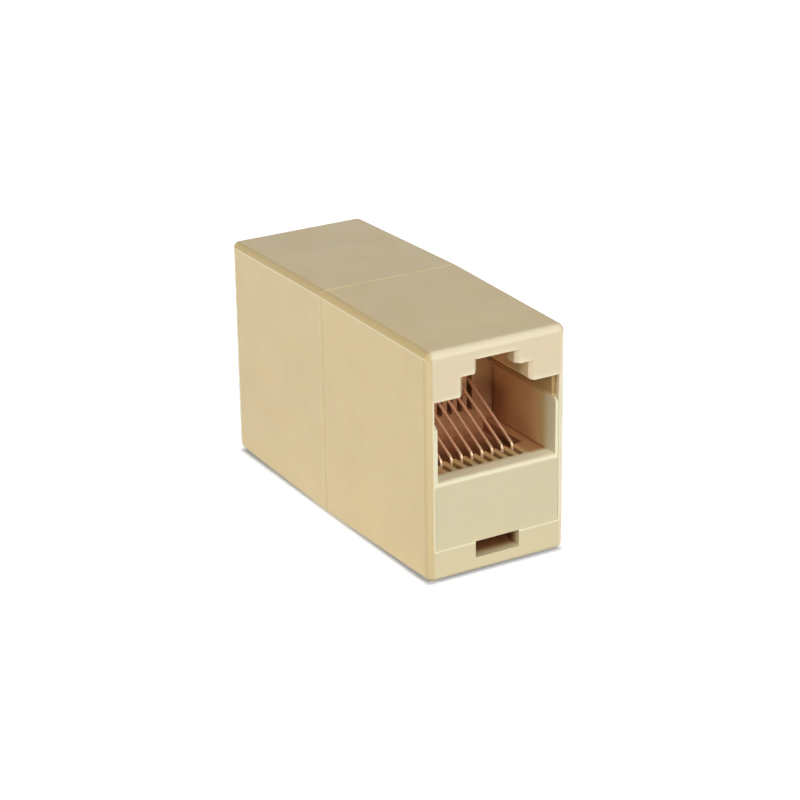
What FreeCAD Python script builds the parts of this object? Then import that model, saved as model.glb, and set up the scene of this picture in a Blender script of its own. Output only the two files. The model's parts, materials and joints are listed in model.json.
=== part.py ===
import FreeCAD, Part
import math
import os
from types import SimpleNamespace

import Sketcher
from FreeCAD import Placement, Rotation, Vector

# Inline coupler that joins two eight-way modular plugs end to end.
# Millimetres, +Z up, length along Y, front mouth towards -Y.
# The origin lies on the standing surface, under the middle of the seam.
#
# Each half is built for the front end and turned half round about Z for the rear end.
# Depths are counted from the mouth plane inwards, and heights from the lower edge of the mouth.

DRIVING_SIZES = (
    ("half_length", 17.5, "mouth plane to seam"),
    ("mouth_width", 13.6, "outside width at the mouth"),
    ("mouth_height", 20.65, "outside height at the mouth"),
    ("side_swell", 0.2, "mould draft: how far each side stands out at the seam"),
    ("roof_swell", 0.27, "mould draft: how far top and bottom stand out at the seam"),
    ("standing_flat", 2.5, "length of the flat under each half, beside the seam, that it stands on"),
    ("outer_round", 0.6, "rounding of the four long edges and of the edges round the mouth face"),
    ("seam_bevel", 0.1, "small bevel that shows as the seam line"),
    ("side_wall", 0.64, "side wall at the mouth"),
    ("floor_wall", 2.8, "thickness under the carrier, as high as the rim under the panel"),
    ("roof_wall", 1.35, "wall over the latch keyway"),
    ("cavity_depth", 10.2, "mouth plane to the rear wall of the plug cavity"),
    ("comb_wall", 1.0, "thickness of that rear wall"),
    ("comb_rise", 1.16, "height of the rear wall's lower edge over the lip"),
    ("plug_height", 7.31, "height of the plug opening, lip to ceiling"),
    ("wide_key_half", 3.26, "half width of the wide step of the keyway"),
    ("wide_key_rise", 1.78, "height of the wide step over the ceiling"),
    ("narrow_key_half", 1.87, "half width of the narrow step, where the latch enters"),
    ("narrow_key_rise", 1.27, "height of the narrow step over the wide one"),
    ("shoulder_depth", 1.5, "thickness of the shoulders that the latch hooks behind"),
    ("key_bevel", 0.4, "lead-in bevel on the upright edges of the keyway"),
    ("ceiling_round", 0.3, "rounding where the sides of the keyway meet the ceiling"),
    ("window_half", 2.18, "half width of the release window"),
    ("window_height", 1.49, "height of the window, up to the panel"),
    ("window_entry", 1.2, "level stretch behind the window"),
    ("ramp_length", 1.8, "length of the ramp behind that"),
    ("ramp_rise", 0.74, "rise of the ramp"),
    ("catch_shelf", 1.7, "level stretch from the ramp to the edge that the snap finger holds against"),
    ("catch_length", 1.9, "length of the catch recess"),
    ("joint_tongue", 0.35, "thickness of the tongue at the seam"),
    ("joint_reach", 1.0, "how far the tongue reaches over the seam"),
    ("joint_gap", 0.05, "clearance round the tongue"),
    ("carrier_gap", 0.03, "clearance of the carrier beside each side wall"),
    ("panel_inset", 0.05, "how far the panel stands behind the mouth plane"),
    ("panel_thickness", 1.65, "panel thickness, lip included"),
    ("lip_round", 0.45, "rounding along the lip"),
    ("deck_thickness", 2.44, "thickness of the deck behind the lip"),
    ("ledge_width", 1.13, "width of the ledge on each side of the well"),
    ("well_depth", 1.14, "depth of the well under the contacts, from the lip's height"),
    ("slot_front", 1.5, "how far the slots of the front comb reach before the nose of the contacts"),
    ("slot_back", 0.6, "how far they reach behind it, where the well starts"),
    ("cheek_thickness", 0.28, "thickness of the cheeks beside the plug"),
    ("cheek_drop", 2.15, "how far the cheeks end under the ceiling"),
    ("cheek_slant", 0.35, "slanted front corner of each cheek"),
    ("rib_start", 0.7, "mouth plane to the guide ribs over the cheeks"),
    ("cheek_gap", 0.2, "distance from the cheeks to the rear wall"),
    ("finger_half", 1.9, "half width of the snap finger"),
    ("finger_rise", 0.2, "height of the snap finger over the housing's floor"),
    ("finger_thickness", 0.8, "thickness of the snap finger"),
    ("finger_nose", 1.4, "length of the finger's nose"),
    ("finger_gap", 0.1, "clearance round the nose"),
    ("contact_spacing", 1.016, "distance from contact to contact"),
    ("contact_count", 8, "number of contacts in a mouth"),
    ("contact_wire", 0.26, "thickness and width of the contact wire"),
    ("slot_gap", 0.12, "clearance beside the wire in combs and grooves"),
    ("contact_nose", 3.3, "depth of the upright run at the nose of the deck"),
    ("crest_rise", 0.45, "height over the lip where the nose's front and the slope's top would meet"),
    ("contact_slope", 27, "slope of the contact in the cavity, in degrees"),
    ("contact_bend", 0.4, "bend radius of the contact, at its middle line"),
    ("contact_end_gap", 0.15, "distance from the contact's free end to the back of the rear wall"),
    ("tail_reach", 1.0, "how far the contact stands out behind the carrier"),
    ("groove_depth", 0.65, "depth of the grooves under the deck"),
    ("lead_diameter", 0.8, "diameter of an insulated lead"),
    ("lead_stub", 1.0, "straight start of a lead"),
    ("lead_clearance", 1.5, "distance of the twisted row of leads from the housing's floor"),
)

# leads: flats round the section, points along the twist, and how much of a run each arc takes
LEAD_SIDES = 8
TWIST_STEPS = 4
ARC_SHARE = 0.45

# tolerances: least change in volume that counts, and lengths that count as the same
LEAST_CHANGE = 1e-6
SAME_LENGTH = 1e-4

doc = FreeCAD.newDocument("inline_coupler")
sheet = doc.addObject("Spreadsheet::Sheet", "sizes")
sheet.Label = "driving dimensions"
for row, (alias, value, meaning) in enumerate(DRIVING_SIZES, start=1):
    sheet.set(f"A{row}", alias)
    sheet.set(f"B{row}", str(value))
    sheet.set(f"C{row}", meaning)
    sheet.setAlias(f"B{row}", alias)
doc.recompute()


class Size:
    """A length, with the sheet formula that it comes from."""

    def __init__(self, formula, value):
        self.formula = formula
        self.value = value

    def __add__(self, other):
        other = as_size(other)
        return Size(f"({self.formula} + {other.formula})", self.value + other.value)

    def __sub__(self, other):
        other = as_size(other)
        return Size(f"({self.formula} - {other.formula})", self.value - other.value)

    def __mul__(self, other):
        other = as_size(other)
        return Size(f"({self.formula} * {other.formula})", self.value * other.value)

    def __truediv__(self, other):
        other = as_size(other)
        return Size(f"({self.formula} / {other.formula})", self.value / other.value)

    def __neg__(self):
        return Size(f"(0 - {self.formula})", -self.value)


def as_size(number):
    """Give a plain number the form of a Size."""
    if isinstance(number, Size):
        return number
    return Size(str(number), float(number))


dim = SimpleNamespace(**{
    alias: Size(f"{sheet.Name}.{alias}", float(sheet.get(alias)))
    for alias, _, _ in DRIVING_SIZES
})


def bind(feature, path, size):
    """Set a property and tie it to the sheet."""
    if "." not in path and "[" not in path:
        setattr(feature, path, size.value)
    feature.setExpression(path, size.formula)


flat_cut = dim.roof_swell * dim.standing_flat / dim.half_length


def height(size):
    """Height above the standing surface of a height above the mouth's lower edge."""
    return dim.roof_swell - flat_cut + size


def depth(size):
    """Y of a depth behind the front mouth plane."""
    return size - dim.half_length


# widths
mouth_half = dim.mouth_width / 2
seam_half = mouth_half + dim.side_swell
pocket_half = mouth_half - dim.side_wall
carrier_half = pocket_half - dim.carrier_gap
ledge_inner = carrier_half - dim.ledge_width
cheek_inner = carrier_half - dim.cheek_thickness
slot_width = dim.contact_wire + dim.slot_gap * 2
first_contact = dim.contact_spacing * (as_size(1) - dim.contact_count) / 2

# depths
wall_back = dim.cavity_depth + dim.comb_wall
tail_end = wall_back + dim.tail_reach
comb_start = dim.contact_nose - dim.slot_front
well_start = dim.contact_nose + dim.slot_back
nose_front = dim.contact_nose - dim.contact_wire / 2
contact_end = wall_back - dim.contact_end_gap
ramp_end = dim.window_entry + dim.ramp_length
catch_depth = ramp_end + dim.catch_shelf

# heights, from the roof down
key_top = dim.mouth_height - dim.roof_wall
wide_key_top = key_top - dim.narrow_key_rise
cavity_top = wide_key_top - dim.wide_key_rise
cheek_top = cavity_top - dim.cheek_drop
lip_height = cavity_top - dim.plug_height
comb_foot = lip_height + dim.comb_rise
well_floor = lip_height - dim.well_depth
deck_underside = lip_height - dim.deck_thickness
groove_top = deck_underside + dim.groove_depth
tail_height = groove_top - dim.contact_wire / 2
contact_crest = lip_height + dim.crest_rise
slope = Size(f"{dim.contact_slope.formula} * 1 deg", math.radians(dim.contact_slope.value))
slope_rise = Size(f"tan({slope.formula})", math.tan(slope.value))
comb_slot_top = contact_crest + (contact_end - nose_front) * slope_rise + dim.slot_gap

# heights, from the floor up
window_floor = dim.floor_wall - dim.window_height
ramp_top = window_floor + dim.ramp_rise
finger_root = dim.floor_wall + dim.finger_rise
row_arch = dim.floor_wall + dim.lead_clearance + dim.lead_diameter / 2 - first_contact - tail_height


def new_sketch(body, name, plane, offset=None):
    """A sketch on one of the body's own planes; the offset is along the plane's normal."""
    sketch = body.newObject("Sketcher::SketchObject", name)
    support = next(item for item in body.Origin.OriginFeatures if item.Role == plane)
    sketch.AttachmentSupport = [(support, "")]
    sketch.MapMode = "FlatFace"
    if offset is not None:
        sketch.AttachmentOffset = Placement(Vector(0, 0, offset.value), Rotation())
        sketch.setExpression("AttachmentOffset.Base.z", offset.formula)
    return sketch


def across(body, name, depth_behind_mouth):
    """A sketch that looks along the coupler, at a depth behind the mouth plane."""
    return new_sketch(body, name, "XZ_Plane", dim.half_length - depth_behind_mouth)


def pin_point(sketch, edge, end, spot):
    """Fix one end of an edge at a spot given in sizes."""
    for kind, size in zip(("DistanceX", "DistanceY"), spot):
        index = sketch.addConstraint(Sketcher.Constraint(kind, -1, 1, edge, end, size.value))
        sketch.setExpression(f"Constraints[{index}]", size.formula)


def draw_outline(sketch, corners):
    """Add a closed outline of straight lines through the corners."""
    corners = [(as_size(first), as_size(second)) for first, second in corners]
    start = sketch.GeometryCount
    count = len(corners)
    for index, corner in enumerate(corners):
        following = corners[(index + 1) % count]
        line = Part.LineSegment(
            Vector(corner[0].value, corner[1].value, 0),
            Vector(following[0].value, following[1].value, 0),
        )
        sketch.addGeometry(line, False)
    for index in range(count):
        following = start + (index + 1) % count
        sketch.addConstraint(Sketcher.Constraint("Coincident", start + index, 2, following, 1))
    for index, corner in enumerate(corners):
        pin_point(sketch, start + index, 1, corner)
    return sketch


def rectangle(left, right, bottom, top):
    """Corners of an upright rectangle."""
    return [(left, bottom), (right, bottom), (right, top), (left, top)]


def must_change(feature, before, grows):
    """Stop if a feature left the volume as it was or moved it the wrong way."""
    doc.recompute()
    change = feature.Shape.Volume - before
    if (change > 0) != grows or abs(change) < LEAST_CHANGE:
        raise RuntimeError(f"{feature.Label} changed the volume by {change}")
    return feature


def tip_volume(body):
    """Volume of the body so far."""
    return body.Tip.Shape.Volume if body.Tip else 0


def pad(body, name, sketch, length, away=False, symmetric=False):
    """Add material from a sketch, towards the front unless it is sent away."""
    before = tip_volume(body)
    feature = body.newObject("PartDesign::Pad", name)
    feature.Profile = sketch
    feature.Reversed = away
    if symmetric:
        feature.SideType = "Symmetric"
    bind(feature, "Length", length)
    return must_change(feature, before, grows=True)


def pocket(body, name, sketch, length, away=False, symmetric=False):
    """Cut into the material behind a sketch, or before it when sent away."""
    before = tip_volume(body)
    feature = body.newObject("PartDesign::Pocket", name)
    feature.Profile = sketch
    feature.Reversed = away
    if symmetric:
        feature.SideType = "Symmetric"
    bind(feature, "Length", length)
    return must_change(feature, before, grows=False)


def row_of(body, name, feature, grows):
    """Repeat a feature once for each contact, along X."""
    before = tip_volume(body)
    pattern = body.newObject("PartDesign::LinearPattern", name)
    pattern.Originals = [feature]
    axis = next(item for item in body.Origin.OriginFeatures if item.Role == "X_Axis")
    pattern.Direction = (axis, [""])
    pattern.Mode = "Spacing"
    bind(pattern, "Offset", dim.contact_spacing)
    pattern.Occurrences = int(dim.contact_count.value)
    pattern.setExpression("Occurrences", dim.contact_count.formula)
    body.Tip = pattern
    return must_change(pattern, before, grows)


def edges_where(shape, test):
    """Names of the edges that pass a test."""
    return [f"Edge{number}" for number, edge in enumerate(shape.Edges, start=1) if test(edge)]


def near(first, second):
    """Whether two lengths are the same for all purposes here."""
    return abs(first - second) < SAME_LENGTH


def soften(body, kind, name, test, size):
    """Round or bevel the edges that pass a test."""
    base = body.Tip
    names = edges_where(base.Shape, test)
    if not names:
        raise RuntimeError(f"{name} finds no edge")
    before = base.Shape.Volume
    feature = body.newObject(f"PartDesign::{kind}", name)
    feature.Base = (base, names)
    bind(feature, "Radius" if kind == "Fillet" else "Size", size)
    return must_change(feature, before, grows=False)


def place(piece, turned, offset_x=None):
    """Leave a piece at the front end, or turn it half round for the rear end."""
    angle = 180 if turned else 0
    piece.Placement = Placement(Vector(0, 0, 0), Rotation(Vector(0, 0, 1), angle))
    if offset_x is not None:
        bind(piece, "Placement.Base.x", -offset_x if turned else offset_x)


def tongue_outline(side, grow):
    """Half ring inside the seam wall: the tongue, or its recess when grown by the joint gap."""
    outer = dim.joint_tongue + grow
    bottom = height(dim.floor_wall)
    top = height(key_top)
    inner_x = pocket_half * side
    outer_x = (pocket_half + outer) * side
    middle = (dim.joint_gap - grow) * side
    return [
        (middle, bottom - outer), (outer_x, bottom - outer), (outer_x, top + outer),
        (middle, top + outer), (middle, top), (inner_x, top), (inner_x, bottom), (middle, bottom),
    ]


def build_shell(label, turned):
    """Half of the housing: drafted box, plug cavity with latch keyway, comb wall, seam joint."""
    body = doc.addObject("PartDesign::Body", label)
    body.Label = label
    seam = dim.half_length
    mouth = as_size(0)

    # drafted outside: side view first, then the draft of the two sides
    mouth_y = depth(mouth)
    seam_y = depth(seam)
    profile = new_sketch(body, "side_view", "YZ_Plane")
    draw_outline(profile, [
        (seam_y, -flat_cut), (mouth_y, height(mouth)),
        (mouth_y, height(dim.mouth_height)), (seam_y, height(dim.mouth_height + dim.roof_swell)),
    ])
    pad(body, "side_view_block", profile, seam_half * 2, symmetric=True)
    wedges = new_sketch(body, "side_draft_outline", "XY_Plane")
    for side in (-1, 1):
        draw_outline(wedges, [
            (seam_half * side, seam_y), (mouth_half * side, mouth_y),
            ((seam_half + dim.side_swell) * side, mouth_y),
            ((seam_half + dim.side_swell) * side, seam_y),
        ])
    pocket(body, "side_draft", wedges, dim.mouth_height * 3, symmetric=True)
    soften(body, "Fillet", "long_rounding",
           lambda edge: edge.BoundBox.YLength > dim.half_length.value / 2, dim.outer_round)
    soften(body, "Fillet", "mouth_rounding",
           lambda edge: near(edge.BoundBox.YMax, mouth_y.value), dim.outer_round)
    soften(body, "Chamfer", "seam_line",
           lambda edge: near(edge.BoundBox.YMin, seam_y.value), dim.seam_bevel)
    flat = new_sketch(body, "standing_flat_profile", "YZ_Plane")
    draw_outline(flat, [
        (seam_y, -flat_cut * 2), (seam_y, as_size(0)),
        (seam_y - dim.standing_flat, as_size(0)), (seam_y - dim.standing_flat, -flat_cut * 2),
    ])
    pocket(body, "standing_flat", flat, seam_half * 2, symmetric=True)

    # plug cavity with guide ribs flush with the carrier's cheeks, and the room behind its rear wall
    cavity = across(body, "cavity_outline", mouth)
    draw_outline(cavity, rectangle(
        -pocket_half, pocket_half, height(dim.floor_wall), height(cavity_top)))
    pocket(body, "plug_cavity", cavity, dim.cavity_depth)
    ribs = across(body, "guide_rib_outline", dim.rib_start)
    rib_foot = height(cheek_top + dim.joint_gap)
    draw_outline(ribs, rectangle(-pocket_half, -cheek_inner, rib_foot, height(cavity_top)))
    draw_outline(ribs, rectangle(cheek_inner, pocket_half, rib_foot, height(cavity_top)))
    pad(body, "guide_ribs", ribs, dim.cavity_depth - dim.rib_start, away=True)
    underpass = across(body, "underpass_outline", dim.cavity_depth)
    draw_outline(underpass, rectangle(
        -pocket_half, pocket_half, height(dim.floor_wall), height(comb_foot)))
    pocket(body, "carrier_passage", underpass, dim.comb_wall)
    room = across(body, "wiring_room_outline", seam)
    draw_outline(room, rectangle(
        -pocket_half, pocket_half, height(dim.floor_wall), height(key_top)))
    pocket(body, "wiring_room", room, seam - wall_back, away=True)

    # stepped keyway for the plug's latch, with shoulders that the latch hooks behind
    entry = across(body, "keyway_entry_outline", mouth)
    draw_outline(entry, [
        (-dim.wide_key_half, height(cavity_top)), (dim.wide_key_half, height(cavity_top)),
        (dim.wide_key_half, height(wide_key_top)), (dim.narrow_key_half, height(wide_key_top)),
        (dim.narrow_key_half, height(key_top)), (-dim.narrow_key_half, height(key_top)),
        (-dim.narrow_key_half, height(wide_key_top)), (-dim.wide_key_half, height(wide_key_top)),
    ])
    pocket(body, "keyway_entry", entry, dim.shoulder_depth)
    latch_room = across(body, "latch_room_outline", dim.shoulder_depth)
    draw_outline(latch_room, rectangle(
        -dim.wide_key_half, dim.wide_key_half, height(cavity_top), height(key_top)))
    pocket(body, "latch_room", latch_room, dim.cavity_depth - dim.shoulder_depth)

    # lead-in bevels on the upright edges of both keyway steps
    for step_name, half, low, high in (
        ("wide", dim.wide_key_half, cavity_top, wide_key_top),
        ("narrow", dim.narrow_key_half, wide_key_top, key_top),
    ):
        bevels = new_sketch(body, f"{step_name}_bevel_outline", "XY_Plane", height(low))
        for side in (-1, 1):
            draw_outline(bevels, [
                (half * side, depth(mouth)), ((half + dim.key_bevel) * side, depth(mouth)),
                (half * side, depth(dim.key_bevel)),
            ])
        pocket(body, f"{step_name}_lead_in", bevels, high - low, away=True)

    # rounded edges between the ceiling and the sides of the keyway
    ceiling_z = height(cavity_top).value

    def meets_ceiling(edge):
        box = edge.BoundBox
        level = near(box.ZMin, ceiling_z) and near(box.ZMax, ceiling_z)
        beside_key = near(abs(box.XMin), dim.wide_key_half.value) and near(box.XMin, box.XMax)
        return level and beside_key and box.YLength > dim.shoulder_depth.value

    soften(body, "Fillet", "ceiling_rounding", meets_ceiling, dim.ceiling_round)

    # comb slots for the free ends of the contacts
    slot = across(body, "comb_slot_outline", dim.cavity_depth)
    draw_outline(slot, rectangle(
        first_contact - slot_width / 2, first_contact + slot_width / 2,
        height(comb_foot), height(comb_slot_top)))
    first_slot = pocket(body, "comb_slot", slot, dim.comb_wall)
    row_of(body, "comb_slots", first_slot, grows=False)

    # release window, ramp and catch recess under the carrier
    catch_end = catch_depth + dim.catch_length
    window = new_sketch(body, "window_profile", "YZ_Plane")
    draw_outline(window, [
        (depth(mouth), height(window_floor)), (depth(dim.window_entry), height(window_floor)),
        (depth(ramp_end), height(ramp_top)), (depth(catch_depth), height(ramp_top)),
        (depth(catch_depth), height(window_floor)), (depth(catch_end), height(window_floor)),
        (depth(catch_end), height(dim.floor_wall)), (depth(mouth), height(dim.floor_wall)),
    ])
    pocket(body, "release_window", window, dim.window_half * 2, symmetric=True)

    # seam joint: a tongue on one side, its recess on the other, so that two equal halves fit
    recess = across(body, "recess_outline", seam)
    draw_outline(recess, tongue_outline(1, dim.joint_gap))
    pocket(body, "seam_recess", recess, dim.joint_reach + dim.joint_gap, away=True)
    tongue = across(body, "tongue_outline", seam)
    draw_outline(tongue, tongue_outline(-1, as_size(0)))
    pad(body, "seam_tongue", tongue, dim.joint_reach, away=True)
    place(body, turned)
    return body


def build_carrier(label, turned):
    """Contact carrier: panel with lip, comb deck over side skirts, cheeks and snap finger."""
    body = doc.addObject("PartDesign::Body", label)
    body.Label = label
    foot = height(dim.floor_wall)
    lip = height(lip_height)
    front = dim.panel_inset
    panel_back = front + dim.panel_thickness

    # front panel with its rounded lip
    panel = across(body, "panel_outline", front)
    draw_outline(panel, rectangle(-carrier_half, carrier_half, foot, lip))
    pad(body, "panel", panel, dim.panel_thickness, away=True)
    front_y = depth(front).value
    lip_z = lip.value
    soften(body, "Fillet", "lip_rounding",
           lambda edge: near(edge.BoundBox.YMax, front_y) and near(edge.BoundBox.ZMin, lip_z),
           dim.lip_round)

    # deck on two skirts that stand on the housing's floor
    deck = across(body, "deck_outline", panel_back)
    draw_outline(deck, [
        (-carrier_half, foot), (-ledge_inner, foot),
        (-ledge_inner, height(deck_underside)), (ledge_inner, height(deck_underside)),
        (ledge_inner, foot), (carrier_half, foot), (carrier_half, lip), (-carrier_half, lip),
    ])
    pad(body, "deck", deck, wall_back - panel_back, away=True)
    well = across(body, "well_outline", well_start)
    draw_outline(well, rectangle(-ledge_inner, ledge_inner, height(well_floor), lip))
    pocket(body, "well", well, wall_back - well_start)

    # front comb and the grooves that lead the wires under the deck
    left = first_contact - slot_width / 2
    right = first_contact + slot_width / 2
    groove = across(body, "groove_outline", comb_start)
    draw_outline(groove, rectangle(left, right, height(deck_underside), height(groove_top)))
    first_groove = pocket(body, "groove", groove, wall_back - comb_start)
    row_of(body, "grooves", first_groove, grows=False)
    comb = across(body, "comb_outline", comb_start)
    draw_outline(comb, rectangle(left, right, height(groove_top), lip))
    first_slot = pocket(body, "comb_slot", comb, well_start - comb_start)
    row_of(body, "comb_slots", first_slot, grows=False)

    # stop that closes the well under the housing's rear wall
    stop = across(body, "stop_outline", dim.cavity_depth)
    draw_outline(stop, rectangle(
        -carrier_half, carrier_half, height(well_floor), height(comb_foot - dim.joint_gap)))
    pad(body, "stop", stop, dim.comb_wall, away=True)

    # cheeks beside the plug
    cheek_end = dim.cavity_depth - dim.cheek_gap
    cheek = new_sketch(body, "cheek_profile", "YZ_Plane", cheek_inner)
    draw_outline(cheek, [
        (depth(front), lip), (depth(cheek_end), lip),
        (depth(cheek_end), height(cheek_top)),
        (depth(front + dim.cheek_slant), height(cheek_top)),
        (depth(front), height(cheek_top - dim.cheek_slant)),
    ])
    right_cheek = pad(body, "right_cheek", cheek, carrier_half - cheek_inner)
    before = tip_volume(body)
    mirrored = body.newObject("PartDesign::Mirrored", "left_cheek")
    mirrored.Originals = [right_cheek]
    middle_plane = next(item for item in body.Origin.OriginFeatures if item.Role == "YZ_Plane")
    mirrored.MirrorPlane = (middle_plane, [""])
    body.Tip = mirrored
    must_change(mirrored, before, grows=True)

    # snap finger that drops into the catch recess behind the window
    nose_start = catch_depth + dim.finger_gap
    nose_middle = nose_start + dim.finger_nose / 2
    nose_end = nose_start + dim.finger_nose
    finger_top = finger_root + dim.finger_thickness
    nose_foot = window_floor + dim.finger_gap
    finger = new_sketch(body, "finger_profile", "YZ_Plane")
    draw_outline(finger, [
        (depth(panel_back), height(finger_root)), (depth(nose_start), height(finger_root)),
        (depth(nose_start), height(nose_foot)), (depth(nose_middle), height(nose_foot)),
        (depth(nose_end), height(finger_root)), (depth(nose_end), height(finger_top)),
        (depth(panel_back), height(finger_top)),
    ])
    pad(body, "snap_finger", finger, dim.finger_half * 2, symmetric=True)
    place(body, turned)
    return body


def build_contact(label, number, turned):
    """Contact wire: tail under the deck, bent up round its nose, sloping back to the comb."""
    body = doc.addObject("PartDesign::Body", label)
    body.Label = label
    half = dim.contact_wire / 2
    tail_y = depth(tail_end)
    tail_z = height(tail_height)
    nose_y = depth(nose_front)
    crest_z = height(contact_crest)
    free_y = depth(contact_end)

    # side view of the bent wire: one row of lines and arcs outside the bends, one inside them
    path = new_sketch(body, "side_view", "YZ_Plane")
    normal = Vector(0, 0, 1)
    outer_radius = (dim.contact_bend + half).value
    upper_drop = outer_radius * math.tan((math.pi / 2 - slope.value) / 2)
    lower_centre = Vector(nose_y.value + outer_radius, (tail_z - half).value + outer_radius, 0)
    upper_centre = Vector(nose_y.value + outer_radius, crest_z.value - upper_drop, 0)
    slope_turn = math.pi / 2 + slope.value
    along_slope = Vector(math.cos(slope.value), math.sin(slope.value), 0)
    rows = []
    for radius in (dim.contact_bend + half, dim.contact_bend - half):
        reach = radius.value
        exit_point = upper_centre + Vector(math.cos(slope_turn), math.sin(slope_turn), 0) * reach
        run = (free_y.value - exit_point.x) / along_slope.x
        tail_run, lower_bend, nose_run, upper_bend, sloping_run = path.addGeometry([
            Part.LineSegment(Vector(tail_y.value, lower_centre.y - reach, 0),
                             lower_centre - Vector(0, reach, 0)),
            Part.ArcOfCircle(Part.Circle(lower_centre, normal, reach), math.pi, math.pi * 3 / 2),
            Part.LineSegment(lower_centre - Vector(reach, 0, 0), upper_centre - Vector(reach, 0, 0)),
            Part.ArcOfCircle(Part.Circle(upper_centre, normal, reach), slope_turn, math.pi),
            Part.LineSegment(exit_point, exit_point + along_slope * run),
        ], False)
        for first, first_end, second, second_end in (
            (tail_run, 2, lower_bend, 2), (lower_bend, 1, nose_run, 1),
            (nose_run, 2, upper_bend, 2), (upper_bend, 1, sloping_run, 1),
        ):
            path.addConstraint(Sketcher.Constraint("Tangent", first, first_end, second, second_end))
        path.addConstraint(Sketcher.Constraint("Horizontal", tail_run))
        for kind, line, size in (
            ("Angle", sloping_run, slope),
            ("Radius", lower_bend, radius), ("Radius", upper_bend, radius),
        ):
            index = path.addConstraint(Sketcher.Constraint(kind, line, size.value))
            path.setExpression(f"Constraints[{index}]", size.formula)
        index = path.addConstraint(Sketcher.Constraint("DistanceX", -1, 1, sloping_run, 2, free_y.value))
        path.setExpression(f"Constraints[{index}]", free_y.formula)
        rows.append((tail_run, lower_bend, nose_run, upper_bend, sloping_run))
    outside, inside = rows
    path.addConstraint(Sketcher.Constraint("Vertical", outside[2]))
    for outer_bend, inner_bend in ((outside[1], inside[1]), (outside[3], inside[3])):
        path.addConstraint(Sketcher.Constraint("Coincident", outer_bend, 3, inner_bend, 3))
    for end, run in ((1, 0), (2, 4)):
        outer_end = path.getPoint(outside[run], end)
        inner_end = path.getPoint(inside[run], end)
        cap = path.addGeometry(Part.LineSegment(outer_end, inner_end), False)
        path.addConstraint(Sketcher.Constraint("Coincident", cap, 1, outside[run], end))
        path.addConstraint(Sketcher.Constraint("Coincident", cap, 2, inside[run], end))
    pin_point(path, outside[0], 1, (tail_y, tail_z - half))
    index = path.addConstraint(Sketcher.Constraint("DistanceX", -1, 1, inside[0], 1, tail_y.value))
    path.setExpression(f"Constraints[{index}]", tail_y.formula)
    crest = path.addGeometry(Part.Point(Vector(nose_y.value, crest_z.value, 0)), True)
    path.addConstraint(Sketcher.Constraint("PointOnObject", crest, 1, outside[2]))
    path.addConstraint(Sketcher.Constraint("PointOnObject", crest, 1, outside[4]))
    pin_point(path, crest, 1, (nose_y, crest_z))
    pad(body, "bent_wire", path, dim.contact_wire, symmetric=True)
    place(body, turned, first_contact + dim.contact_spacing * number)
    return body


def bent_path(points):
    """Straight runs through the points, joined by arcs as large as the runs allow."""
    edges = []
    start = points[0]
    for before, corner, after in zip(points, points[1:], points[2:]):
        inward = before - corner
        outward = after - corner
        cut = min(inward.Length, outward.Length) * ARC_SHARE
        inward.normalize()
        outward.normalize()
        half_turn = (math.pi - inward.getAngle(outward)) / 2
        radius = cut / math.tan(half_turn)
        first = corner + inward * cut
        last = corner + outward * cut
        bisector = (inward + outward).normalize()
        middle = corner + bisector * (radius / math.cos(half_turn) - radius)
        edges.append(Part.LineSegment(start, first).toShape())
        edges.append(Part.Arc(first, middle, last).toShape())
        start = last
    edges.append(Part.LineSegment(start, points[-1]).toShape())
    return Part.Wire(edges)


def build_lead(label, number):
    """Insulated lead: its share of a flat row that makes half a twist in an arch through the room."""
    reach = (dim.half_length - tail_end).value
    level = height(tail_height).value
    offset = (first_contact + dim.contact_spacing * number).value
    radius = dim.lead_diameter.value / 2
    twist_reach = reach - dim.lead_stub.value
    points = [Vector(offset, -reach, level)]
    for step in range(TWIST_STEPS + 1):
        turn = math.pi * step / TWIST_STEPS
        along = twist_reach * (2 * step / TWIST_STEPS - 1)
        rise = (offset + row_arch.value) * math.sin(turn)
        points.append(Vector(offset * math.cos(turn), along, level + rise))
    points.append(Vector(-offset, reach, level))
    corners = []
    for corner in range(LEAD_SIDES + 1):
        turn = math.tau * corner / LEAD_SIDES
        corners.append(points[0] + Vector(math.cos(turn), 0, math.sin(turn)) * radius)
    section = Part.makePolygon(corners)
    lead = doc.addObject("Part::Feature", label)
    lead.Label = label
    lead.Shape = bent_path(points).makePipeShell([section], True, False)
    return lead


pieces = []
for end, turned in (("front", False), ("rear", True)):
    pieces.append(build_shell(f"{end}_shell", turned))
    pieces.append(build_carrier(f"{end}_carrier", turned))
    for number in range(int(dim.contact_count.value)):
        pieces.append(build_contact(f"{end}_contact_{number + 1}", number, turned))
for number in range(int(dim.contact_count.value)):
    pieces.append(build_lead(f"lead_{number + 1}", number))
doc.recompute()

for item in doc.Objects:
    if "Invalid" in item.State or "Error" in item.State:
        raise RuntimeError(f"{item.Label} is in state {item.State}")
for piece in pieces:
    shape = piece.Shape
    if shape.isNull() or not shape.isValid() or not shape.Solids:
        raise RuntimeError(f"{piece.Label} has no valid shape")

os.makedirs("parts", exist_ok=True)
for piece in pieces:
    piece.Shape.exportStep(f"parts/{piece.Label}.step")
    print(piece.Label, round(piece.Shape.Volume, 3), piece.Shape.BoundBox)
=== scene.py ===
import json
import math
from collections import namedtuple
from functools import cached_property

import bpy
from mathutils import Matrix, Vector

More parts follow.
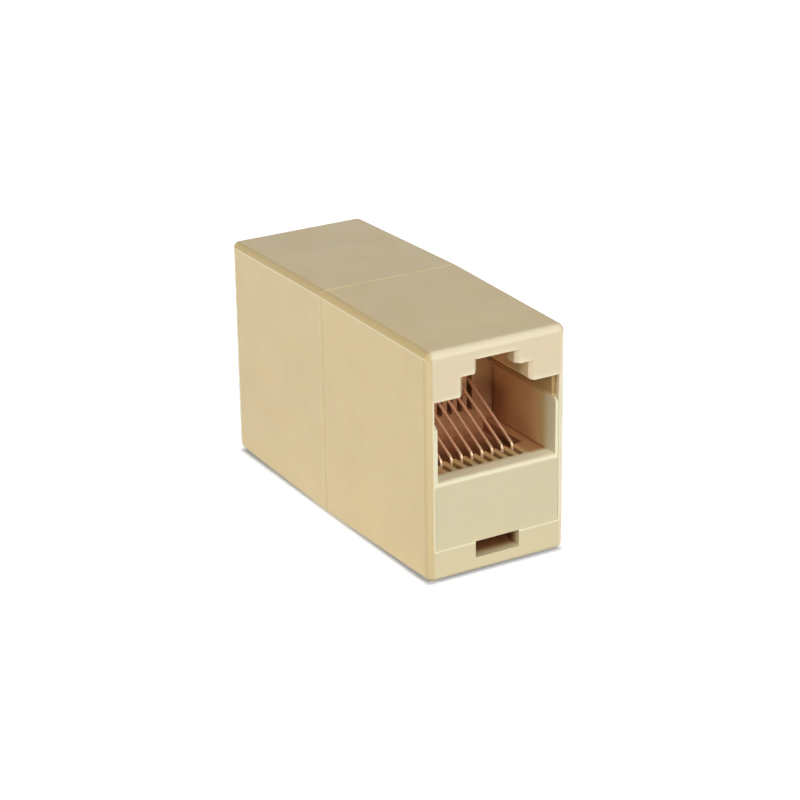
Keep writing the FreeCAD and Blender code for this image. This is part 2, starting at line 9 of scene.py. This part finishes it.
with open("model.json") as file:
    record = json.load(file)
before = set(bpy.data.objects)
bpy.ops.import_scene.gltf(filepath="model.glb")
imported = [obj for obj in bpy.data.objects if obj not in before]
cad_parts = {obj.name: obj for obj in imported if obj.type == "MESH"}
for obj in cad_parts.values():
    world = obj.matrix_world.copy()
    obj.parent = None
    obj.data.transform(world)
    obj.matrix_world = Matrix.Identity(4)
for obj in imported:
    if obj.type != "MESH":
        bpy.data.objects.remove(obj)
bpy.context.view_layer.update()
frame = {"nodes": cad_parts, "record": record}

# Inline coupler in ivory plastic, seen from the front left and a little above.
# Lengths are in metres, apart from those whose name ends in MM and the limits and fades of the masks.

MM = 0.001
NODES = frame["nodes"]
SHELLS = ("front_shell", "rear_shell")
CARRIERS = ("front_carrier", "rear_carrier")
ENDS = ("front", "rear")
CONTACT_COUNT = 8
LEAD_PREFIX = "lead_"


# colours, written as levels on a screen

FULL_LEVEL = 255
SCREEN_KNEE = 0.04045
SCREEN_SLOPE = 12.92
SCREEN_OFFSET = 0.055
SCREEN_POWER = 2.4


def linear(red, green, blue):
    """Scene colour of a screen colour given as 0 to 255."""
    def channel(level):
        share = level / FULL_LEVEL
        if share <= SCREEN_KNEE:
            return share / SCREEN_SLOPE
        return ((share + SCREEN_OFFSET) / (1 + SCREEN_OFFSET)) ** SCREEN_POWER
    return (channel(red), channel(green), channel(blue), 1.0)


IVORY = linear(229, 207, 158)
# painted light: the mouth face and the strip under its panel are paler than the sides and the roof
LIT_MOUTH_IVORY = linear(230, 214, 181)
LIT_STRIP_IVORY = linear(223, 210, 172)
PANEL_IVORY = linear(219, 209, 174)
# painted highlight: cream on the edges, the rims, the sill and the lip
EDGE_HIGHLIGHT_CREAM = linear(255, 246, 214)
# painted shade: amber on the left upright roundings and along the roof roundings
EDGE_SHADE_AMBER = linear(200, 175, 118)
# painted shade in the mouth, the well and the window
CAVITY_SHADE_OLIVE = linear(208, 182, 128)
OLIVE_SHADE = linear(168, 136, 84)
DECK_SHADE_BROWN = linear(172, 116, 76)
CAVITY_SHADE_BROWN = linear(230, 184, 132)
WELL_SHADE_BROWN = linear(116, 72, 42)
FAR_SHADE_BROWN = linear(172, 118, 82)
WIRE_PINK = linear(250, 198, 160)
WIRE_SHADE = linear(120, 80, 56)
# pale: the worn patches, and painted highlight on the wire noses
WIRE_WEAR_AND_HIGHLIGHT = linear(248, 216, 178)


# node trees

MIX_FIRST_COLOUR = 6
MIX_SECOND_COLOUR = 7
MIX_COLOUR_RESULT = 2


class Tree:
    """Thin wrapper that adds nodes to one node tree and links them."""

    def __init__(self, tree):
        self.nodes = tree.nodes
        self.links = tree.links

    def add(self, kind, settings=None, **inputs):
        """A node with its own settings; an input is a value or another node's output."""
        node = self.nodes.new(kind)
        for key, value in (settings or {}).items():
            setattr(node, key, value)
        for key, value in inputs.items():
            self.feed(node.inputs[key.replace("_", " ")], value)
        return node

    def feed(self, socket, value):
        """Give a socket a value, or link another node's output to it."""
        if isinstance(value, bpy.types.NodeSocket):
            self.links.new(value, socket)
        else:
            socket.default_value = value

    def feed_in_order(self, node, values):
        """Give the first sockets of a node their values."""
        for index, value in enumerate(values):
            self.feed(node.inputs[index], value)

    def maths(self, operation, *values):
        """Result of one operation on values or outputs."""
        node = self.add("ShaderNodeMath", {"operation": operation})
        self.feed_in_order(node, values)
        return node.outputs[0]

    def product(self, first, *others):
        """Product of several values or outputs."""
        for other in others:
            first = self.maths("MULTIPLY", first, other)
        return first

    def ramp(self, value, start, end, at_start=0.0, at_end=1.0, kind="SMOOTHSTEP"):
        """Change of a value from one range to another, held at both ends."""
        node = self.add("ShaderNodeMapRange", {"interpolation_type": kind})
        self.feed_in_order(node, (value, start, end, at_start, at_end))
        return node.outputs[0]

    def seen(self):
        """1 for what the camera sees directly, in a reflection or through glass."""
        path = self.add("ShaderNodeLightPath").outputs
        direct_or_glossy = self.maths("MAXIMUM", path["Is Camera Ray"], path["Is Glossy Ray"])
        return self.maths("MAXIMUM", direct_or_glossy, path["Is Transmission Ray"])


class Shader(Tree):
    """Node tree of a new material, with its surface node at hand."""

    def __init__(self, name):
        self.material = bpy.data.materials.new(name)
        self.material.use_nodes = True
        super().__init__(self.material.node_tree)
        self.surface = self.nodes["Principled BSDF"]

    def set_surface(self, **inputs):
        """Values or outputs for sockets of the surface node."""
        for key, value in inputs.items():
            self.feed(self.surface.inputs[key.replace("_", " ")], value)

    def object_position(self):
        """Where a point lies in the part's own frame."""
        return self.add("ShaderNodeTexCoord").outputs["Object"]

    def blend(self, share, first, second):
        """Colour mixed from two, with that share of the second."""
        node = self.add("ShaderNodeMix", {"data_type": "RGBA"}, Factor=share)
        self.feed(node.inputs[MIX_FIRST_COLOUR], first)
        self.feed(node.inputs[MIX_SECOND_COLOUR], second)
        return node.outputs[MIX_COLOUR_RESULT]

    def noise(self, position, size, detail):
        """Noise with features of about that size."""
        node = self.add("ShaderNodeTexNoise", Vector=position, Scale=1 / size, Detail=detail)
        return node.outputs["Fac"]

    def stretch(self, position, scale):
        """Coordinates stretched along the axes."""
        return self.add("ShaderNodeMapping", Vector=position, Scale=scale).outputs["Vector"]

    def relief(self, height, strength, distance):
        """Fine relief on the surface."""
        bump = self.add("ShaderNodeBump", Height=height, Strength=strength, Distance=distance)
        self.set_surface(Normal=bump.outputs["Normal"])


# measures of a point on the part

MOUTH_Y = 17.5 * MM
MOUTH_SIDE_X = 6.8 * MM
MOUTH_ROOF_Z = 20.88 * MM
SIDE_DRAFT = 0.2 * MM / MOUTH_Y
ROOF_DRAFT = 0.27 * MM / MOUTH_Y
THIN_REACH = 0.8 * MM
THIN_SAMPLES = 8


class Place:
    """Measures of a point, and the masks and tints made from them.

    Each measure adds its nodes when it is first asked for.
    """

    def __init__(self, shader):
        self.shader = shader
        self.position = shader.object_position()
        self.axes = shader.add("ShaderNodeSeparateXYZ", Vector=self.position).outputs
        self.masks = {}

    @cached_property
    def side(self):
        """Distance out from the middle plane."""
        return self.shader.maths("ABSOLUTE", self.axes["X"])

    @cached_property
    def behind(self):
        """Distance behind the nearer mouth."""
        along = self.shader.maths("ABSOLUTE", self.axes["Y"])
        return self.shader.maths("SUBTRACT", MOUTH_Y, along)

    @cached_property
    def rise(self):
        """Height over the ground."""
        return self.axes["Z"]

    @cached_property
    def from_side(self):
        """Distance in from the outer side face, which swells towards the seam."""
        face = self.shader.maths("MULTIPLY_ADD", self.behind, SIDE_DRAFT, MOUTH_SIDE_X)
        return self.shader.maths("SUBTRACT", face, self.side)

    @cached_property
    def from_roof(self):
        """Distance down from the roof, which rises towards the seam."""
        face = self.shader.maths("MULTIPLY_ADD", self.behind, ROOF_DRAFT, MOUTH_ROOF_Z)
        return self.shader.maths("SUBTRACT", face, self.rise)

    @cached_property
    def left_hand(self):
        """1 on the left of someone who looks into the nearer mouth, 0 on the right."""
        turn = self.shader.maths("MULTIPLY", self.axes["X"], self.axes["Y"])
        return self.shader.maths("GREATER_THAN", turn, 0.0)

    @cached_property
    def openness(self):
        """Low on outer edges and thin rims, where light shows through, high on open faces."""
        settings = {"inside": True, "only_local": True, "samples": THIN_SAMPLES}
        node = self.shader.add("ShaderNodeAmbientOcclusion", settings, Distance=THIN_REACH)
        return node.outputs["AO"]

    def mask(self, mask):
        """Output of one mask, made once."""
        if mask not in self.masks:
            measure = getattr(self, mask.measure)
            self.masks[mask] = self.shader.ramp(measure, mask.start, mask.end,
                                                mask.at_start, mask.at_end)
        return self.masks[mask]

    def all_of(self, masks):
        """Product of several masks."""
        return self.shader.product(*(self.mask(mask) for mask in masks))

    def tint(self, body, tints):
        """Colour with the tints laid over it in turn."""
        for tint in tints:
            share = self.all_of(tint.masks)
            if tint.spared:
                rest = self.shader.maths("SUBTRACT", 1.0, self.all_of(tint.spared))
                share = self.shader.product(share, rest)
            share = self.shader.product(share, tint.share)
            body = self.shader.blend(share, body, tint.colour)
        return body


# where the tints lie: a tint covers what all its masks share, apart from what is spared

Mask = namedtuple("Mask", ("measure", "start", "end", "at_start", "at_end"))
Tint = namedtuple("Tint", ("colour", "share", "masks", "spared"), defaults=((),))

PANEL_FOOT_MM = 3.06
LIP_MM = 9.17
WELL_MM = 7.6
CHEEK_TOP_MM = 14.6
KEY_TOP_MM = 20.3
WALL_INSIDE_MM = 6.3
RIB_INSIDE_MM = 5.6
WIRES_HALF_MM = 4.6
WINDOW_HALF_MM = 2.3
WINDOW_FLOOR_MM = 1.45
SEAM_BEHIND_MM = 16.9
OUTER_ROUND_MM = 0.6


def over(measure, limit, fade):
    """Mask that is 1 over a limit and fades to 0 below it, both in millimetres."""
    return Mask(measure, (limit - fade) * MM, limit * MM, at_start=0.0, at_end=1.0)


def under(measure, limit, fade):
    """Mask that is 1 under a limit and fades to 0 above it, both in millimetres."""
    return Mask(measure, limit * MM, (limit + fade) * MM, at_start=1.0, at_end=0.0)


THIN = Mask("openness", start=0.35, end=0.85, at_start=1.0, at_end=0.0)
LEFT_HAND = Mask("left_hand", start=0.0, end=1.0, at_start=0.0, at_end=1.0)
RIGHT_HAND = Mask("left_hand", start=0.0, end=1.0, at_start=1.0, at_end=0.0)

MOUTH_FACE = under("behind", limit=0.2, fade=0.6)
OVER_STRIP = over("rise", limit=PANEL_FOOT_MM + 1.0, fade=1.0)
PAST_ROUND = over("from_side", limit=OUTER_ROUND_MM, fade=0.2)
ON_SIDE = under("from_side", limit=0.7 * OUTER_ROUND_MM, fade=0.3 * OUTER_ROUND_MM)
ON_ROOF = under("from_roof", limit=0.8 * OUTER_ROUND_MM, fade=0.4 * OUTER_ROUND_MM)

# painted highlight along the sill at the foot of the panel
SILL = (
    MOUTH_FACE,
    PAST_ROUND,
    over("rise", limit=PANEL_FOOT_MM - 0.1, fade=0.1),
    under("rise", limit=PANEL_FOOT_MM + 0.1, fade=0.05),
)
# painted highlight on the lip and on the deck just behind it
LIP = (
    over("rise", limit=LIP_MM - 0.2, fade=0.15),
    under("rise", limit=LIP_MM + 0.05, fade=0.1),
    under("behind", limit=1.2, fade=0.8),
)
# painted highlight along the front edge of the roof
ROOF_FRONT = (
    ON_ROOF,
    under("behind", limit=0.25, fade=0.4),
    over("from_side", limit=0.9, fade=0.8),
)
# upright roundings by the mouth get painted shade on the left and painted highlight on the right;
# those along the roof get painted shade
UPRIGHT = (ON_SIDE, under("behind", limit=0.8 * OUTER_ROUND_MM, fade=0.3))
ALONG_ROOF = (ON_SIDE, ON_ROOF)
# painted highlight as a thin line where the side meets the roof rounding
HIGHLIGHT_LINE = (
    under("from_side", limit=0.04, fade=0.04),
    over("from_roof", limit=0.9 * OUTER_ROUND_MM, fade=0.06),
    under("from_roof", limit=1.05 * OUTER_ROUND_MM, fade=0.08),
)
# faint painted highlight along the seam
SEAM = (THIN, over("behind", limit=SEAM_BEHIND_MM, fade=0.1))
CAVITY = (
    under("side", limit=WALL_INSIDE_MM, fade=0.1),
    over("rise", limit=WELL_MM, fade=0.2),
    under("rise", limit=KEY_TOP_MM, fade=0.1),
)
# masks of the painted shade inside the mouth
OLIVE_DEPTH = CAVITY + (over("behind", limit=2.2, fade=1.2),)
BROWN_DEPTH = CAVITY + (over("behind", limit=4.0, fade=2.2),)
WELL = BROWN_DEPTH + (under("rise", limit=LIP_MM - 0.9, fade=0.8),)
OVER_CHEEKS = CAVITY + (
    over("side", limit=RIB_INSIDE_MM, fade=0.3),
    over("rise", limit=CHEEK_TOP_MM, fade=0.2),
    over("behind", limit=0.6, fade=0.3),
)
BESIDE_WIRES = CAVITY + (
    under("rise", limit=LIP_MM + 0.1, fade=0.1),
    over("rise", limit=LIP_MM - 0.2, fade=0.2),
    over("side", limit=WIRES_HALF_MM, fade=0.8),
    over("behind", limit=2.0, fade=1.0),
)
REAR_WALL_FOOT = CAVITY + (
    over("behind", limit=9.6, fade=3.0),
    under("rise", limit=11.6, fade=2.5),
)
WINDOW = (
    under("side", limit=WINDOW_HALF_MM, fade=0.05),
    over("rise", limit=WINDOW_FLOOR_MM, fade=0.1),
    under("rise", limit=PANEL_FOOT_MM, fade=0.1),
    over("behind", limit=1.5, fade=1.4),
)
# painted highlight on the noses of the wires, painted shade under the lip
LIT_WIRE_NOSE = (under("behind", limit=3.4, fade=0.8),)
WIRE_UNDER_LIP = (under("rise", limit=LIP_MM - 0.3, fade=0.25),)


def painted_edge_light_and_shade(rims_from):
    """Painted shade in amber on the left uprights and along the roof, painted highlights in cream on
    the right uprights, the roof's front edge, a line along the side and the rims over a height, and a
    faint painted highlight line at the seam.
    """
    # painted light on the thin rims over a height, where light shows through
    rims = (
        THIN,
        PAST_ROUND,
        under("behind", limit=0.08, fade=0.1),
        over("rise", limit=rims_from, fade=0.3),
    )
    return (
        Tint(EDGE_SHADE_AMBER, share=0.6, masks=UPRIGHT + (LEFT_HAND,), spared=ROOF_FRONT),
        Tint(EDGE_HIGHLIGHT_CREAM, share=0.6, masks=UPRIGHT + (RIGHT_HAND,), spared=ROOF_FRONT),
        Tint(EDGE_SHADE_AMBER, share=0.75, masks=ALONG_ROOF, spared=ROOF_FRONT),
        Tint(EDGE_HIGHLIGHT_CREAM, share=0.5, masks=HIGHLIGHT_LINE),
        Tint(EDGE_HIGHLIGHT_CREAM, share=0.75, masks=rims),
        Tint(EDGE_HIGHLIGHT_CREAM, share=0.45, masks=ROOF_FRONT),
        Tint(EDGE_HIGHLIGHT_CREAM, share=0.06, masks=SEAM),
    )


# painted shade: olive and then brown with the depth in the mouth, darker in the well and in the
# window, and also over the cheeks, beside the wires and at the foot of the rear wall
CAVITY_SHADE_TINTS = (
    Tint(CAVITY_SHADE_OLIVE, share=1.0, masks=OLIVE_DEPTH),
    Tint(CAVITY_SHADE_BROWN, share=1.0, masks=BROWN_DEPTH),
    Tint(WELL_SHADE_BROWN, share=1.0, masks=WELL),
    Tint(OLIVE_SHADE, share=0.8, masks=OVER_CHEEKS),
    Tint(DECK_SHADE_BROWN, share=0.75, masks=BESIDE_WIRES),
    Tint(FAR_SHADE_BROWN, share=0.85, masks=REAR_WALL_FOOT),
    Tint(WELL_SHADE_BROWN, share=1.0, masks=WINDOW),
)
# painted highlight on the sill
SILL_HIGHLIGHT_TINT = Tint(EDGE_HIGHLIGHT_CREAM, share=0.6, masks=SILL)
# painted highlight on the lip and the deck just behind it
LIP_HIGHLIGHT_TINT = Tint(EDGE_HIGHLIGHT_CREAM, share=0.95, masks=LIP)
HOUSING_TINTS = (SILL_HIGHLIGHT_TINT, *painted_edge_light_and_shade(PANEL_FOOT_MM), *CAVITY_SHADE_TINTS)
CARRIER_TINTS = (*painted_edge_light_and_shade(LIP_MM - 0.2), *CAVITY_SHADE_TINTS, LIP_HIGHLIGHT_TINT)
# painted highlight on the wire noses and painted shade under the lip
WIRE_TINTS = (
    Tint(WIRE_WEAR_AND_HIGHLIGHT, share=1.0, masks=LIT_WIRE_NOSE),
    Tint(WIRE_SHADE, share=1.0, masks=WIRE_UNDER_LIP),
)


# materials: the sizes of their patches, and how strongly these show

MIDDLE_RANGE = (0.3, 0.7)

CLOUD_SIZE = 5.0 * MM
CLOUD_RANGE = (0.35, 0.65)
CLOUD_CONTRAST = 0.02
SPECK_SIZE = 0.45 * MM
SPECK_RANGE = (0.45, 0.75)
SPECK_SHARE = 0.3
FLOW_SIZE = 1.6 * MM
FLOW_STRETCH = (1.0, 0.25, 1.0)
GRAIN_SIZE = 0.12 * MM
GRAIN_SHARE = 0.03
WAVE_SIZE = 2.2 * MM
WAVE_SHARE = 0.6
PLASTIC_RELIEF = {"strength": 0.35, "distance": 0.03 * MM}
HOUSING_ROUGHNESS = 0.36
CARRIER_ROUGHNESS = 0.42
SMOOTHEST = -0.05
ROUGHEST = 0.07
SPECULAR_LEVEL = 0.3
SUBSURFACE_SHARE = 0.12
SUBSURFACE_DEPTH = 0.8 * MM

WORN_SIZE = 0.9 * MM
WORN_RANGE = (0.5, 0.9)
WORN_SHARE = 0.5
DRAW_MARK_SIZE = 0.06 * MM
DRAW_MARK_STRETCH = (1.0, 0.08, 1.0)
DRAW_MARK_RELIEF = {"strength": 0.2, "distance": 0.004 * MM}
WIRE_ROUGHNESS = (0.25, 0.4)
WIRE_METAL_SHARE = 0.4

JACKET_PATCH_SIZE = 1.2 * MM
JACKET_PATCH_RANGE = (0.35, 0.7)
JACKET_DULL_SHARE = 0.85
JACKET_ROUGHNESS = (0.35, 0.5)


def moulded_plastic(name, colour, lit_mouth_colour, roughness, tints):
    """Satin moulded plastic: faint clouds, fine grain, a mouth face painted paler as painted light,
    and tints of painted light and shade.
    """
    shader = Shader(name)
    place = Place(shader)
    position = place.position
    clouds = shader.noise(position, CLOUD_SIZE, detail=3.0)
    specks = shader.noise(position, SPECK_SIZE, detail=2.0)
    pale = tuple(min(level * (1 + CLOUD_CONTRAST), 1.0) for level in colour)
    dull = tuple(level * (1 - CLOUD_CONTRAST) for level in colour)
    body = shader.blend(shader.ramp(clouds, *CLOUD_RANGE), dull, pale)
    body = shader.blend(shader.ramp(specks, *SPECK_RANGE, 0.0, SPECK_SHARE), body, dull)
    # painted light: the mouth face gets a paler colour than the body
    face = shader.blend(place.mask(OVER_STRIP), LIT_STRIP_IVORY, lit_mouth_colour)
    body = shader.blend(place.mask(MOUTH_FACE), body, face)
    flow = shader.noise(shader.stretch(position, FLOW_STRETCH), FLOW_SIZE, detail=4.0)
    uneven = shader.ramp(flow, *MIDDLE_RANGE, roughness + SMOOTHEST, roughness + ROUGHEST)
    shader.set_surface(Base_Color=place.tint(body, tints), Roughness=uneven,
                       Specular_IOR_Level=SPECULAR_LEVEL,
                       Subsurface_Weight=SUBSURFACE_SHARE, Subsurface_Scale=SUBSURFACE_DEPTH)
    grain = shader.product(shader.noise(position, GRAIN_SIZE, detail=2.0), GRAIN_SHARE)
    waves = shader.product(shader.noise(position, WAVE_SIZE, detail=1.0), WAVE_SHARE)
    shader.relief(shader.maths("ADD", grain, waves), **PLASTIC_RELIEF)
    return shader.material


def spring_wire(name):
    """Drawn copper alloy with paler worn patches, fine draw marks along the wire, a painted highlight
    on the noses and painted shade under the lip.
    """
    shader = Shader(name)
    place = Place(shader)
    position = place.position
    patches = shader.noise(position, WORN_SIZE, detail=3.0)
    worn = shader.ramp(patches, *WORN_RANGE, 0.0, WORN_SHARE)
    colour = place.tint(shader.blend(worn, WIRE_PINK, WIRE_WEAR_AND_HIGHLIGHT), WIRE_TINTS)
    marks = shader.noise(shader.stretch(position, DRAW_MARK_STRETCH), DRAW_MARK_SIZE, detail=2.0)
    shader.set_surface(Base_Color=colour, Metallic=WIRE_METAL_SHARE,
                       Roughness=shader.ramp(marks, *MIDDLE_RANGE, *WIRE_ROUGHNESS))
    shader.relief(marks, **DRAW_MARK_RELIEF)
    return shader.material


def insulation(name, colour):
    """Soft PVC insulation with a slightly uneven sheen."""
    shader = Shader(name)
    patches = shader.noise(shader.object_position(), JACKET_PATCH_SIZE, detail=2.0)
    bright = (*colour, 1.0)
    dull = (*(level * JACKET_DULL_SHARE for level in colour), 1.0)
    body = shader.blend(shader.ramp(patches, *JACKET_PATCH_RANGE), dull, bright)
    uneven = shader.ramp(patches, *MIDDLE_RANGE, *JACKET_ROUGHNESS)
    shader.set_surface(Base_Color=body, Roughness=uneven)
    return shader.material


# the pieces get their materials and soft edges

MOULDING_EDGE = {"width": 0.05 * MM, "segments": 2}
WIRE_EDGE = {"width": 0.1 * MM, "segments": 3}
WELD_DISTANCE = 0.0005 * MM
FLAT_ANGLE = math.radians(0.2)
SHARP_ANGLE = math.radians(35)


def dress(node, material):
    """Give a piece of the frame its material."""
    slots = NODES[node].material_slots
    for slot in slots:
        slot.material = material
    if not slots:
        NODES[node].data.materials.append(material)


def soften_edges(node, width, segments):
    """Merge the triangles of flat faces and round the sharp edges."""
    piece = NODES[node]
    weld = piece.modifiers.new("weld", "WELD")
    weld.merge_threshold = WELD_DISTANCE
    flatten = piece.modifiers.new("flatten", "DECIMATE")
    flatten.decimate_type = "DISSOLVE"
    flatten.angle_limit = FLAT_ANGLE
    bevel = piece.modifiers.new("edges", "BEVEL")
    bevel.width = width
    bevel.segments = segments
    bevel.limit_method = "ANGLE"
    bevel.angle_limit = SHARP_ANGLE
    bevel.harden_normals = False
    bevel.use_clamp_overlap = True
    even = piece.modifiers.new("normals", "WEIGHTED_NORMAL")
    even.keep_sharp = False
    for polygon in piece.data.polygons:
        polygon.use_smooth = True


def dress_mouldings():
    """Plastic on the shells and on the greyer carriers."""
    housing = moulded_plastic("housing_plastic", IVORY, LIT_MOUTH_IVORY,
                              HOUSING_ROUGHNESS, HOUSING_TINTS)
    carrier = moulded_plastic("carrier_plastic", PANEL_IVORY, PANEL_IVORY,
                              CARRIER_ROUGHNESS, CARRIER_TINTS)
    for nodes, plastic in ((SHELLS, housing), (CARRIERS, carrier)):
        for node in nodes:
            dress(node, plastic)
            soften_edges(node, **MOULDING_EDGE)


def dress_contacts():
    """Spring wire on the contacts of both ends."""
    metal = spring_wire("contact_metal")
    for end in ENDS:
        for number in range(1, CONTACT_COUNT + 1):
            node = f"{end}_contact_{number}"
            dress(node, metal)
            soften_edges(node, **WIRE_EDGE)


def dress_leads():
    """Insulation on each lead, in the colour that the record gives it."""
    record = frame["record"]
    colours = {entry["slot"]: entry["base_color"] for entry in record["materials"]}
    for entry in record["subparts"]:
        if entry["node"].startswith(LEAD_PREFIX):
            slot = entry["material_slot"]
            dress(entry["node"], insulation(slot, colours[slot][:3]))


# camera at the photograph's angle and distance

CAMERA_AZIMUTH = math.radians(-30.148)
CAMERA_ELEVATION = math.radians(21.946)
CAMERA_ROLL = math.radians(-0.854)
CAMERA_DISTANCE = 223.9 * MM
CAMERA_ACROSS = -0.680 * MM
CAMERA_UP = 0.966 * MM
CLIP_RANGE = (0.01, 10.0)
LENS_MM = 112.64
SENSOR_MM = 36.0
BODY_MIDDLE = Vector((0.0, 0.0, 10.556 * MM))


def towards(azimuth, elevation):
    """Unit vector from the object, with azimuth 0 straight out of the front mouth."""
    level = math.cos(elevation)
    return Vector((math.sin(azimuth) * level, -math.cos(azimuth) * level, math.sin(elevation)))


def make_camera():
    """Camera turned by azimuth, elevation and a slight roll about the middle of the object."""
    back = towards(CAMERA_AZIMUTH, CAMERA_ELEVATION)
    flat_right = Vector((math.cos(CAMERA_AZIMUTH), math.sin(CAMERA_AZIMUTH), 0.0))
    flat_up = back.cross(flat_right)
    right = flat_right * math.cos(CAMERA_ROLL) + flat_up * math.sin(CAMERA_ROLL)
    up = back.cross(right)
    data = bpy.data.cameras.new("camera")
    data.lens = LENS_MM
    data.sensor_width = SENSOR_MM
    data.clip_start, data.clip_end = CLIP_RANGE
    camera = bpy.data.objects.new("camera", data)
    place = BODY_MIDDLE + back * CAMERA_DISTANCE - right * CAMERA_ACROSS - up * CAMERA_UP
    turned = Matrix((right, up, back)).transposed()
    camera.matrix_world = Matrix.Translation(place) @ turned.to_4x4()
    bpy.context.scene.collection.objects.link(camera)
    bpy.context.scene.camera = camera


# studio: white floor with a thin painted contact shadow, soft lamps, and a sky paler at the horizon

WHITE = (1.0, 1.0, 1.0, 1.0)
FLOOR_HALF = 3.0
FLOOR_CORNERS = ((-1, -1), (1, -1), (1, 1), (-1, 1))
FLOOR_ROUGHNESS = 0.95
FLOOR_WHITE = (0.86, 0.86, 0.86, 1.0)
# painted contact shadow beside the object
FLOOR_PAINTED_SHADOW = (0.6, 0.62, 0.68, 1.0)
FOOT_HALF = {"X": 6.4 * MM, "Y": 16.9 * MM}
PAINTED_SHADOW_REACH = 1.0 * MM
GLOW_IN_PAINTED_SHADOW = 0.12
GLOW_NEAR = 0.78
GLOW_REACH = (20 * MM, 80 * MM)
SKY_HORIZON = 0.35
SKY_OVERHEAD = 0.02
SKY_OVERHEAD_FROM = 0.9

Lamp = namedtuple("Lamp", ("name", "azimuth", "elevation", "distance", "size", "power"))
LAMPS = (
    Lamp("key", azimuth=-2.0, elevation=31.0, distance=0.6, size=(0.22, 0.22), power=2.1),
    Lamp("left_fill", azimuth=-84.0, elevation=20.0, distance=0.7, size=(0.4, 0.3), power=2.12),
    Lamp("back_fill", azimuth=105.0, elevation=5.0, distance=0.7, size=(0.3, 0.15), power=1.1),
)


def gap_to_foot(shader):
    """Distance of a point of the floor from the rectangle that the object stands on."""
    axes = shader.add("ShaderNodeSeparateXYZ", Vector=shader.object_position()).outputs
    squares = []
    for axis, half in FOOT_HALF.items():
        past = shader.maths("SUBTRACT", shader.maths("ABSOLUTE", axes[axis]), half)
        out = shader.maths("MAXIMUM", 0.0, past)
        squares.append(shader.product(out, out))
    return shader.maths("SQRT", shader.maths("ADD", *squares))


def floor_material():
    """White that is painted bluish and darker beside the object as a painted contact shadow, and
    glows away from it.
    """
    shader = Shader("floor_white")
    gap = gap_to_foot(shader)
    # painted contact shadow: a bluish, darker base colour near the object
    contact = shader.ramp(gap, 0.0, PAINTED_SHADOW_REACH, 1.0, 0.0)
    shader.set_surface(Base_Color=shader.blend(contact, FLOOR_WHITE, FLOOR_PAINTED_SHADOW),
                       Roughness=FLOOR_ROUGHNESS, Specular_IOR_Level=0.0)
    # less glow near the object, as part of the painted contact shadow
    near = shader.ramp(gap, 0.0, PAINTED_SHADOW_REACH, GLOW_IN_PAINTED_SHADOW, GLOW_NEAR)
    far = shader.ramp(gap, *GLOW_REACH, 0.0, 1.0 - GLOW_NEAR)
    strength = shader.product(shader.maths("ADD", near, far), shader.seen())
    glow = shader.add("ShaderNodeEmission", Color=WHITE, Strength=strength)
    total = shader.add("ShaderNodeAddShader")
    shader.feed_in_order(total, (shader.surface.outputs[0], glow.outputs[0]))
    shader.feed(shader.nodes["Material Output"].inputs["Surface"], total.outputs[0])
    return shader.material


def make_floor():
    """Floor that keeps the shadow of the object, with a painted contact shadow beside it, and fades
    into the backdrop.
    """
    corners = [(across * FLOOR_HALF, along * FLOOR_HALF, 0.0) for across, along in FLOOR_CORNERS]
    mesh = bpy.data.meshes.new("floor")
    mesh.from_pydata(corners, [], [range(len(corners))])
    mesh.materials.append(floor_material())
    floor = bpy.data.objects.new("floor", mesh)
    bpy.context.scene.collection.objects.link(floor)


def make_world():
    """White for the camera; for the light a sky that is paler at the horizon than overhead."""
    world = bpy.data.worlds.new("studio")
    bpy.context.scene.world = world
    world.use_nodes = True
    tree = Tree(world.node_tree)
    background = tree.nodes["Background"]
    view = tree.add("ShaderNodeTexCoord").outputs["Generated"]
    rise = tree.add("ShaderNodeSeparateXYZ", Vector=view).outputs["Z"]
    sky = tree.ramp(rise, 0.0, SKY_OVERHEAD_FROM, SKY_HORIZON, SKY_OVERHEAD, kind="LINEAR")
    tree.feed(background.inputs["Color"], WHITE)
    tree.feed(background.inputs["Strength"], tree.maths("MAXIMUM", sky, tree.seen()))


def make_lamp(lamp):
    """Rectangular soft lamp that looks at the middle of the object."""
    data = bpy.data.lights.new(lamp.name, "AREA")
    data.shape = "RECTANGLE"
    data.size, data.size_y = lamp.size
    data.energy = lamp.power
    light = bpy.data.objects.new(lamp.name, data)
    back = towards(math.radians(lamp.azimuth), math.radians(lamp.elevation))
    light.location = BODY_MIDDLE + back * lamp.distance
    light.rotation_euler = back.to_track_quat("Z", "Y").to_euler()
    bpy.context.scene.collection.objects.link(light)


dress_mouldings()
dress_contacts()
dress_leads()
make_camera()
make_floor()
make_world()
for lamp in LAMPS:
    make_lamp(lamp)

bpy.context.scene.view_settings.view_transform = "Standard"
